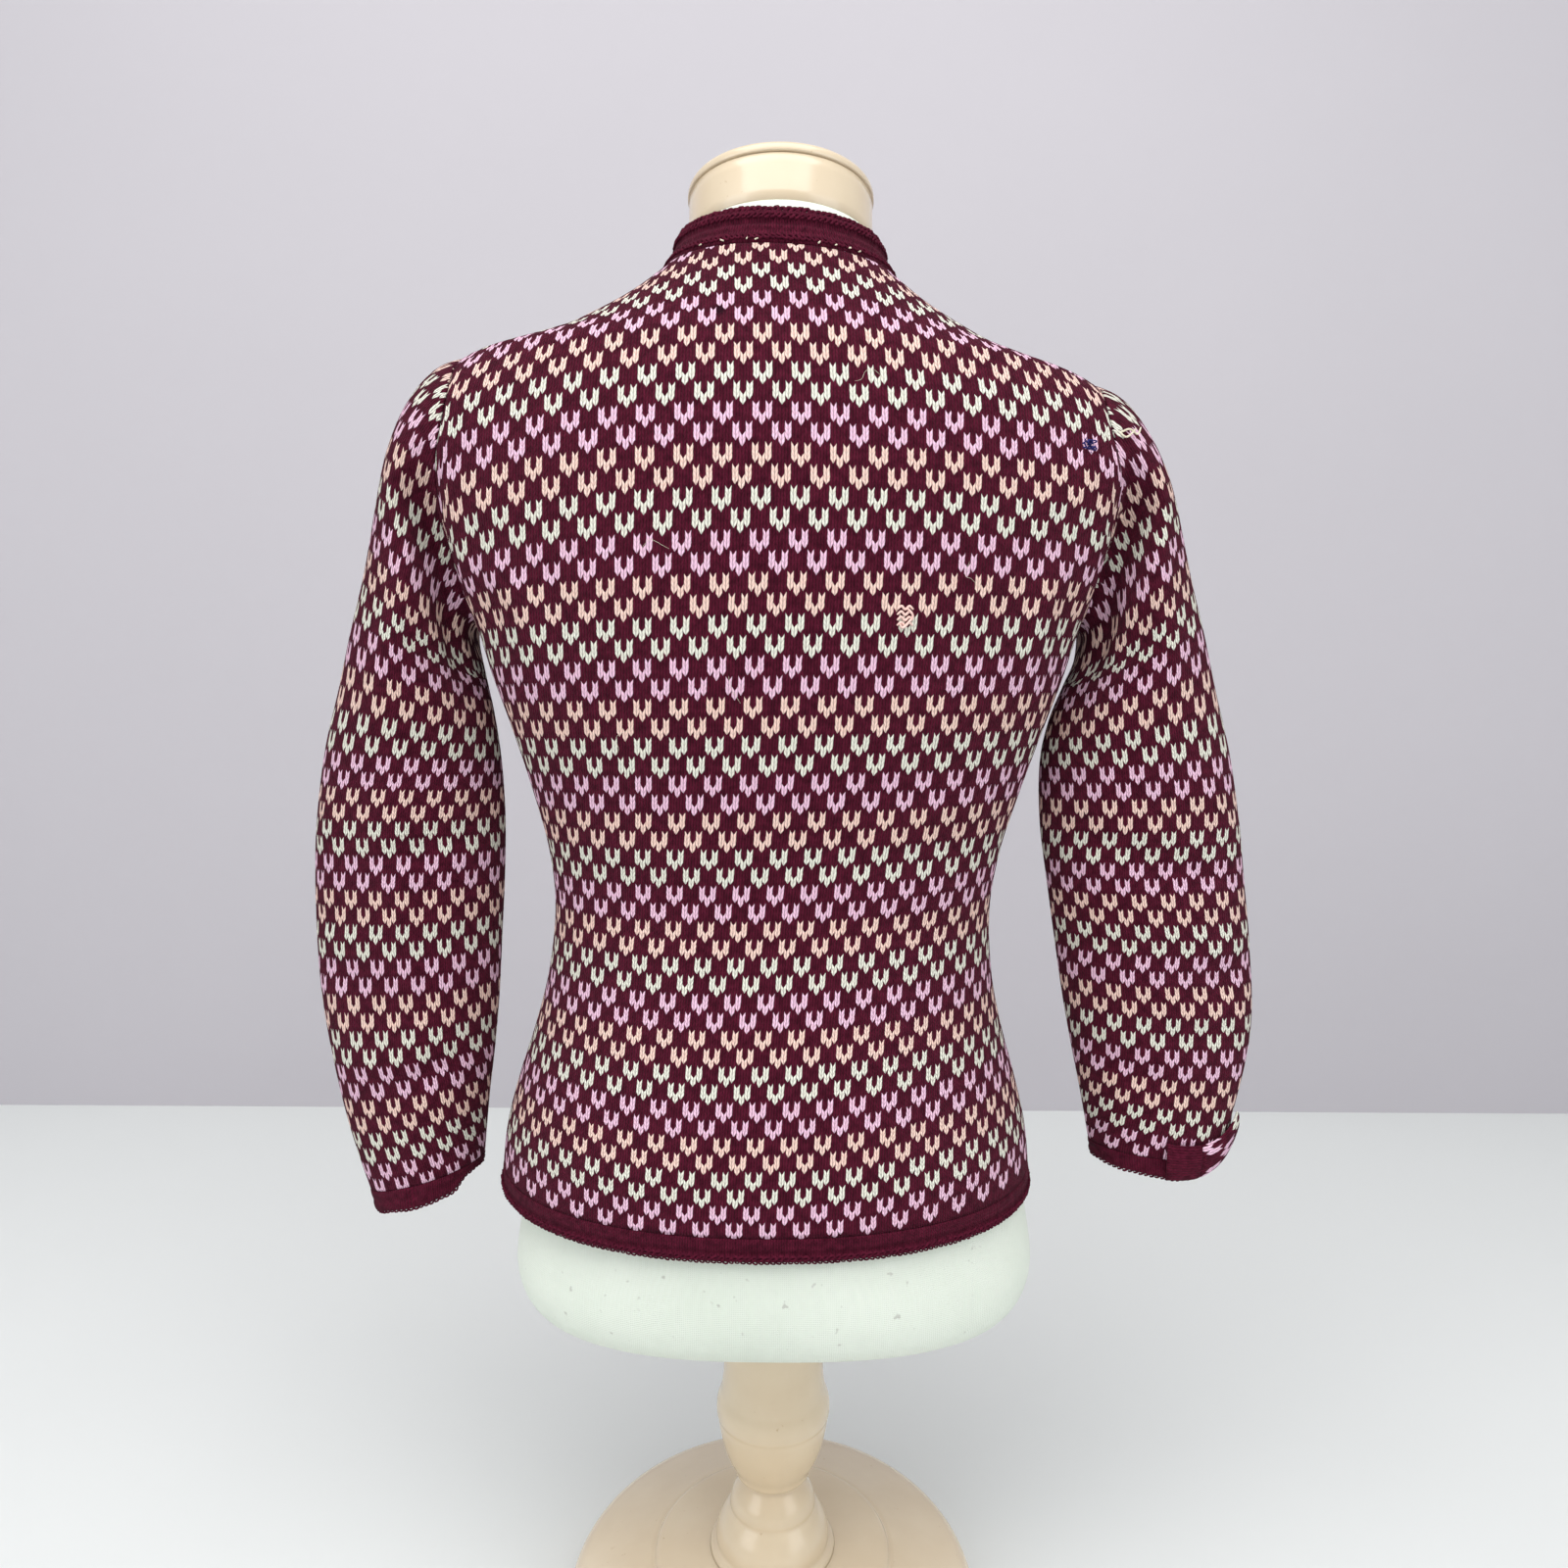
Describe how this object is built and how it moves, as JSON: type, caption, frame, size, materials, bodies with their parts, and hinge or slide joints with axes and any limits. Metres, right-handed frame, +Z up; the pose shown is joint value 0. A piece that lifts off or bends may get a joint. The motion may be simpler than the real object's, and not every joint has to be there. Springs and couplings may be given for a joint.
{
  "type": "round-neck knitted cardigan on a limbless dress form with turned stand",
  "caption": "Fitted long-sleeved knitted cardigan with small repeating motifs, worn by a limbless dress form on a turned stand.",
  "frame": {"origin": "centre of the stand base's underside, on the floor", "axes": "+Z up, the wearer faces -Y, +X is the wearer's left"},
  "size_m": [0.603, 0.28, 0.9546],
  "materials": {
    "patterned_knit": "soft wool stockinette, maroon ground with small lilac, peach and pale green motifs",
    "plain_knit": "soft maroon wool, firm ribbed edge",
    "button_plastic": "polished dark plum",
    "form_linen": "off-white linen stretched over padding",
    "cream_lacquer": "glossy cream paint"
  },
  "bodies": {
    "root": {"back": "patterned_knit", "front_left": "patterned_knit", "front_right": "patterned_knit", "sleeve_left": "patterned_knit", "sleeve_right": "patterned_knit", "cuff_left": "plain_knit", "cuff_right": "plain_knit", "neck_band": "plain_knit", "hem_band": "plain_knit", "buttonhole_band": "plain_knit", "button_band": "plain_knit", "button_1": "button_plastic", "button_2": "button_plastic", "button_3": "button_plastic", "button_4": "button_plastic", "button_5": "button_plastic", "button_6": "button_plastic", "button_7": "button_plastic", "form_torso": "form_linen", "neck_block": "cream_lacquer", "neck_cap": "cream_lacquer", "stand_base": "cream_lacquer", "stand_column": "cream_lacquer"}
  },
  "joints": []
}
